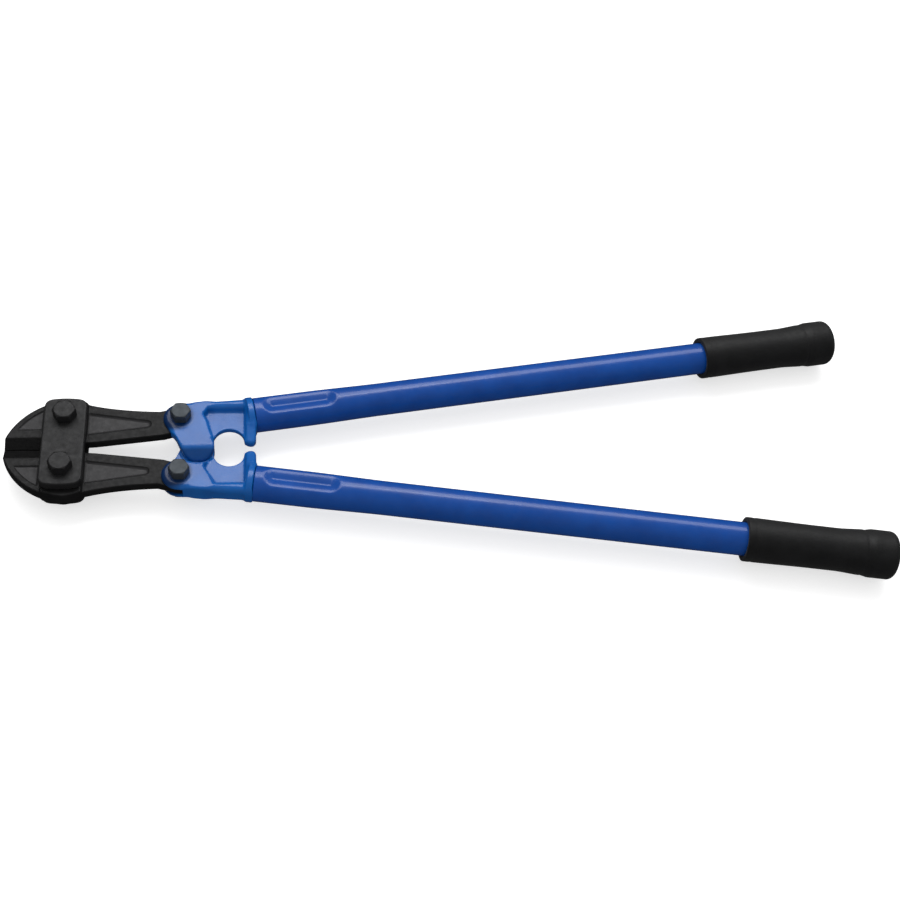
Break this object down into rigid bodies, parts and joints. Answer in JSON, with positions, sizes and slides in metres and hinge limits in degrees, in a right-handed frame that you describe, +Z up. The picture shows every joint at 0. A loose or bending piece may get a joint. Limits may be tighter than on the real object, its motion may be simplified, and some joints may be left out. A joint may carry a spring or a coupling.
{
  "type": "bolt cutters",
  "caption": "Long-handled compound-lever bolt cutters with centre-cut jaws, side plates, cast handle heads, tube handles and rubber grips.",
  "frame": {"origin": "middle of the base of the closed tool's box, on the surface that it lies on", "axes": "+X from the jaws towards the handles, +Y towards the upper handle, +Z up, the side of the bolt heads"},
  "size_m": [0.7599, 0.281, 0.0494],
  "materials": {
    "forged_jaw": "satin black forged steel",
    "dark_plate": "satin black pressed steel",
    "dark_bolt": "blackened steel, satin",
    "grey_bolt": "dark grey plated steel, satin",
    "blue_casting": "glossy blue paint on a casting",
    "blue_tube": "glossy blue paint on steel tube",
    "grip_rubber": "matte black rubber"
  },
  "bodies": {
    "plates": {"front_plate": "dark_plate", "rear_plate": "dark_plate", "upper_plate_bolt": "dark_bolt", "lower_plate_bolt": "dark_bolt", "upper_plate_washer": "dark_bolt", "lower_plate_washer": "dark_bolt", "upper_plate_nut": "dark_bolt", "lower_plate_nut": "dark_bolt"},
    "upper_jaw_lever": {"upper_jaw": "forged_jaw"},
    "lower_jaw_lever": {"lower_jaw": "forged_jaw"},
    "upper_handle": {"upper_handle_head": "blue_casting", "upper_handle_tube": "blue_tube", "upper_grip": "grip_rubber", "upper_tail_bolt": "grey_bolt", "upper_tail_washer": "grey_bolt", "upper_tail_nut": "grey_bolt", "centre_pin": "blue_casting"},
    "lower_handle": {"lower_handle_head": "blue_casting", "lower_handle_tube": "blue_tube", "lower_grip": "grip_rubber", "lower_tail_bolt": "grey_bolt", "lower_tail_washer": "grey_bolt", "lower_tail_nut": "grey_bolt"}
  },
  "joints": [
    {"name": "upper_jaw_pivot", "type": "hinge", "parent": "plates", "child": "upper_jaw_lever", "pos_m": [-0.3305, 0.0265, 0.025], "axis": [0, 0, 1], "range_deg": [-6.79, 0]},
    {"name": "lower_jaw_pivot", "type": "hinge", "parent": "plates", "child": "lower_jaw_lever", "pos_m": [-0.3305, -0.0265, 0.025], "axis": [0, 0, 1], "range_deg": [0, 6.79]},
    {"name": "upper_handle_pivot", "type": "hinge", "parent": "upper_jaw_lever", "child": "upper_handle", "pos_m": [-0.234, 0.0295, 0.025], "axis": [0, 0, 1], "range_deg": [0, 38]},
    {"name": "lower_handle_pivot", "type": "hinge", "parent": "lower_jaw_lever", "child": "lower_handle", "pos_m": [-0.234, -0.0295, 0.025], "axis": [0, 0, 1], "range_deg": [-38, 0]}
  ],
  "couplings": [
    {"joint": "upper_jaw_pivot", "follows": "upper_handle_pivot", "ratio": -0.17847},
    {"joint": "lower_jaw_pivot", "follows": "upper_handle_pivot", "ratio": 0.17847},
    {"joint": "lower_handle_pivot", "follows": "upper_handle_pivot", "ratio": -1}
  ]
}
